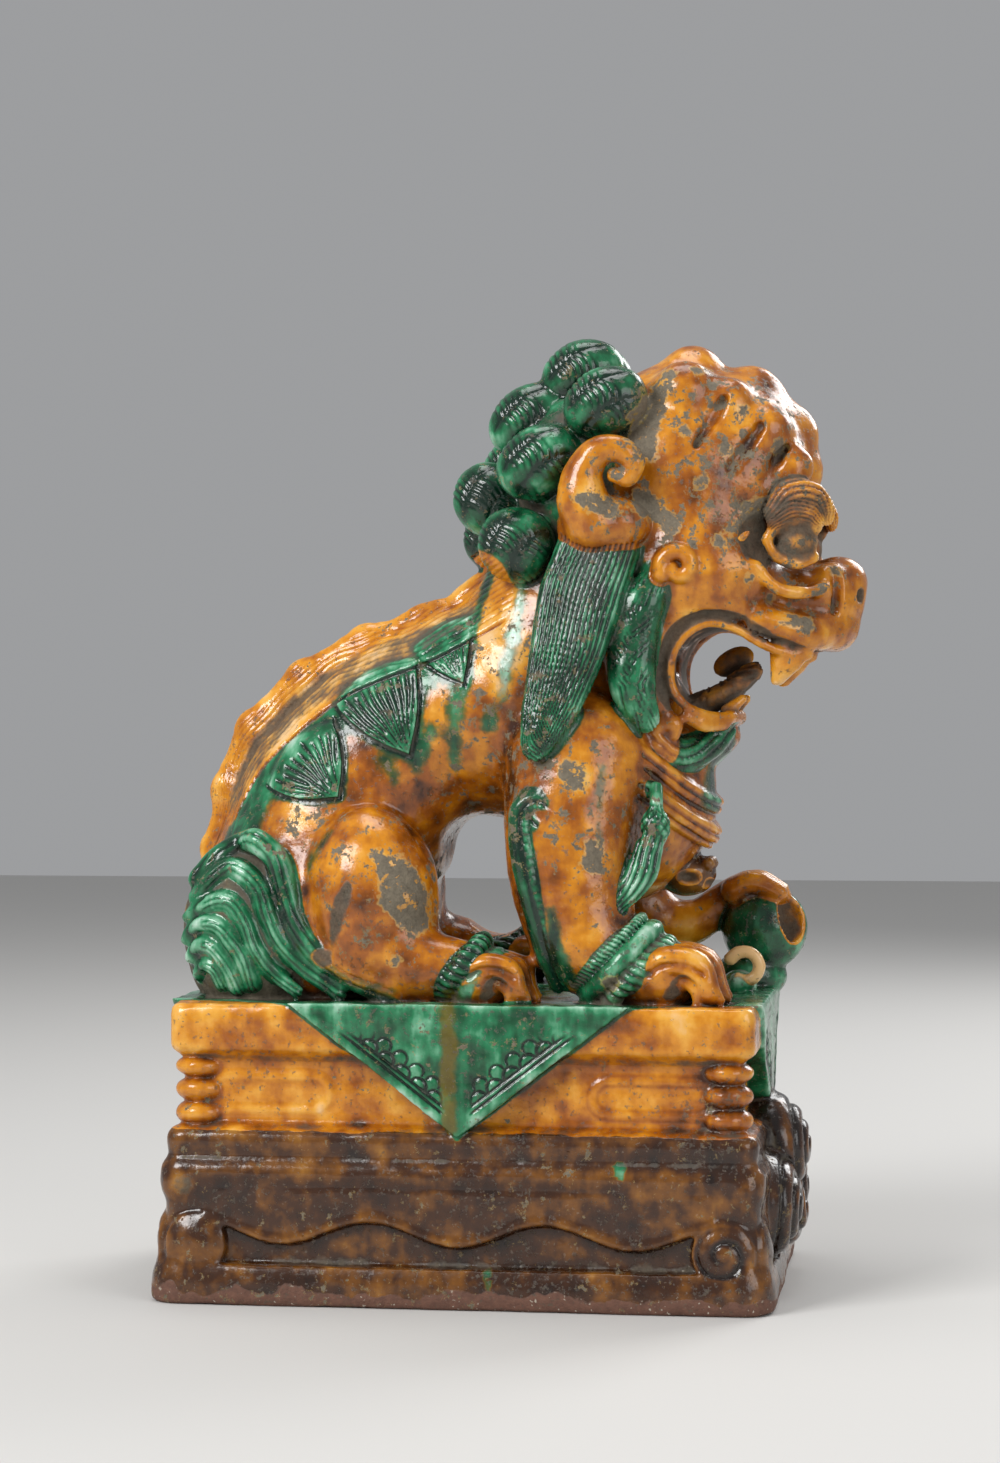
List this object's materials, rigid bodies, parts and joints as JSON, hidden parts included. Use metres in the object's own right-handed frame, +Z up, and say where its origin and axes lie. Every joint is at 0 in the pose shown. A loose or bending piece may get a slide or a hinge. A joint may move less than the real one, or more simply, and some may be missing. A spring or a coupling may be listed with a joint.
{
  "type": "sancai glazed lion figure",
  "caption": "Seated guardian lion of amber and green lead-glazed earthenware, one paw on a ball, fired in one piece with its stepped, cloth-draped plinth.",
  "frame": {"origin": "middle of the plinth's underside, on the surface that the figure stands on", "axes": "+X the way the lion faces, +Y the lion's left, +Z up"},
  "size_m": [0.314, 0.19, 0.4265],
  "materials": {
    "sancai_glaze": "amber and green lead glaze over buff earthenware, glossy, crackled, pooled dark in the hollows and flaked in patches"
  },
  "bodies": {
    "root": {"lion_on_plinth": "sancai_glaze"}
  },
  "joints": []
}
